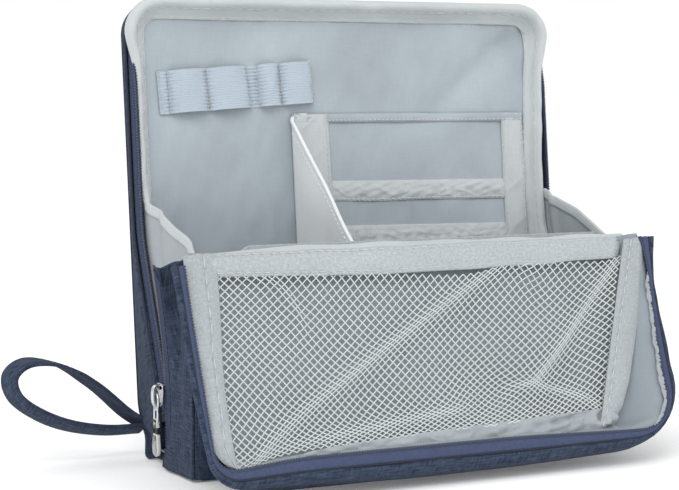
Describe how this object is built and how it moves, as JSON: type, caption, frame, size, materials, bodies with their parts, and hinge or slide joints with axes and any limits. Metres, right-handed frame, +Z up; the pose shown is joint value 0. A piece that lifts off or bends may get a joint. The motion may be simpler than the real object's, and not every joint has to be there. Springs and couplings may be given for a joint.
{
  "type": "travel toiletry organizer bag",
  "caption": "Zip-around fabric organizer standing open: front flap with a mesh pocket folded down, divided main compartment, elastic loops, card pockets, wrist strap.",
  "frame": {"origin": "middle of the base's underside, midway between the lower front and the hinge line of the back half", "axes": "+X to the right along the fold lines, +Y to the rear, +Z up"},
  "size_m": [0.3439, 0.1637, 0.2371],
  "materials": {
    "navy_fabric": "woven navy melange outer fabric, matte with a faint sheen",
    "navy_tape": "woven navy zip tape",
    "navy_coil": "navy nylon coil, satin",
    "stiffener": "plain stiffening board, hidden inside",
    "foam": "thin foam padding, hidden inside",
    "blue_grey_lining": "smooth blue-grey lining cloth with fine creases",
    "light_grey_fabric": "light grey lining cloth, stitched and slightly puckered",
    "light_grey_tape": "light grey zip tape",
    "light_grey_coil": "pale nylon coil",
    "pale_elastic": "pale blue-grey ribbed elastic",
    "white_mesh": "white diamond netting",
    "bright_metal": "polished zinc, bright with soft scratches",
    "pale_enamel": "pale enamelled grip with a metal rim"
  },
  "bodies": {
    "base": {"base_shell": "navy_fabric", "base_board": "stiffener", "base_lining": "blue_grey_lining", "lower_front_shell": "navy_fabric", "lower_front_board": "stiffener", "lower_front_lining": "blue_grey_lining", "lower_wall_left": "navy_fabric", "lower_wall_right": "navy_fabric", "lower_zip_tape": "navy_tape", "lower_zip_coil": "navy_coil", "gusset_left": "light_grey_fabric", "gusset_right": "light_grey_fabric", "divider": "light_grey_fabric", "divider_piping": "light_grey_fabric", "zip_pocket_panel": "light_grey_fabric", "zip_pocket_tape": "light_grey_tape", "zip_pocket_coil": "light_grey_coil", "front_fold": "navy_fabric", "rear_fold": "navy_fabric"},
    "back_half": {"back_shell": "navy_fabric", "back_board": "stiffener", "back_foam": "foam", "back_lining": "blue_grey_lining", "back_wall_left": "navy_fabric", "back_wall_right": "navy_fabric", "back_wall_top": "navy_fabric", "back_binding": "light_grey_fabric", "back_zip_tape": "navy_tape", "back_zip_coil": "navy_coil", "elastic_band": "pale_elastic", "card_panel": "blue_grey_lining", "card_side_left": "light_grey_fabric", "card_side_right": "light_grey_fabric", "card_band_upper": "light_grey_fabric", "card_band_lower": "light_grey_fabric"},
    "front_flap": {"flap_shell": "navy_fabric", "flap_board": "stiffener", "flap_lining": "blue_grey_lining", "flap_wall_left": "navy_fabric", "flap_wall_right": "navy_fabric", "flap_wall_end": "navy_fabric", "flap_zip_tape": "navy_tape", "flap_zip_coil": "navy_coil", "mesh_panel": "white_mesh", "mesh_hem": "light_grey_fabric", "mesh_binding_left": "light_grey_fabric", "mesh_binding_right": "light_grey_fabric", "mesh_bottom_strip": "light_grey_fabric"},
    "main_slider": {"main_slider": "bright_metal"},
    "main_pull": {"main_pull": "bright_metal", "main_pull_grip": "pale_enamel"},
    "pocket_slider": {"pocket_slider": "bright_metal"},
    "pocket_pull": {"pocket_pull": "bright_metal"},
    "wrist_loop": {"wrist_strap": "navy_fabric"}
  },
  "joints": [
    {"name": "back_tilt", "type": "hinge", "parent": "base", "child": "back_half", "pos_m": [0, 0.0345, 0.002], "axis": [1, 0, 0], "range_deg": [0, 12], "deforming": ["gusset_left", "gusset_right", "divider", "divider_piping", "lower_zip_tape", "lower_zip_coil"]},
    {"name": "flap_fold", "type": "hinge", "parent": "base", "child": "front_flap", "pos_m": [0, -0.0345, 0.112], "axis": [-1, 0, 0], "range_deg": [0, 156]},
    {"name": "main_slider_travel", "type": "slide", "parent": "back_half", "child": "main_slider", "axis": [0, 0.3997, 0.9166], "range_m": [0, 0.072]},
    {"name": "main_pull_swing", "type": "hinge", "parent": "main_slider", "child": "main_pull", "pos_m": [-0.131, 0.003, 0.038], "axis": [0, 1, 0], "range_deg": [0, 150]},
    {"name": "pocket_slider_travel", "type": "slide", "parent": "base", "child": "pocket_slider", "axis": [1, 0, 0], "range_m": [-0.014, 0.184]},
    {"name": "pocket_pull_swing", "type": "hinge", "parent": "pocket_slider", "child": "pocket_pull", "pos_m": [-0.086, -0.0252, 0.109], "axis": [1, 0, 0], "range_deg": [0, 100]},
    {"name": "wrist_strap_swing", "type": "hinge", "parent": "back_half", "child": "wrist_loop", "pos_m": [-0.1295, 0.041, 0.017], "axis": [0, 0, 1], "range_deg": [-50, 50]}
  ]
}
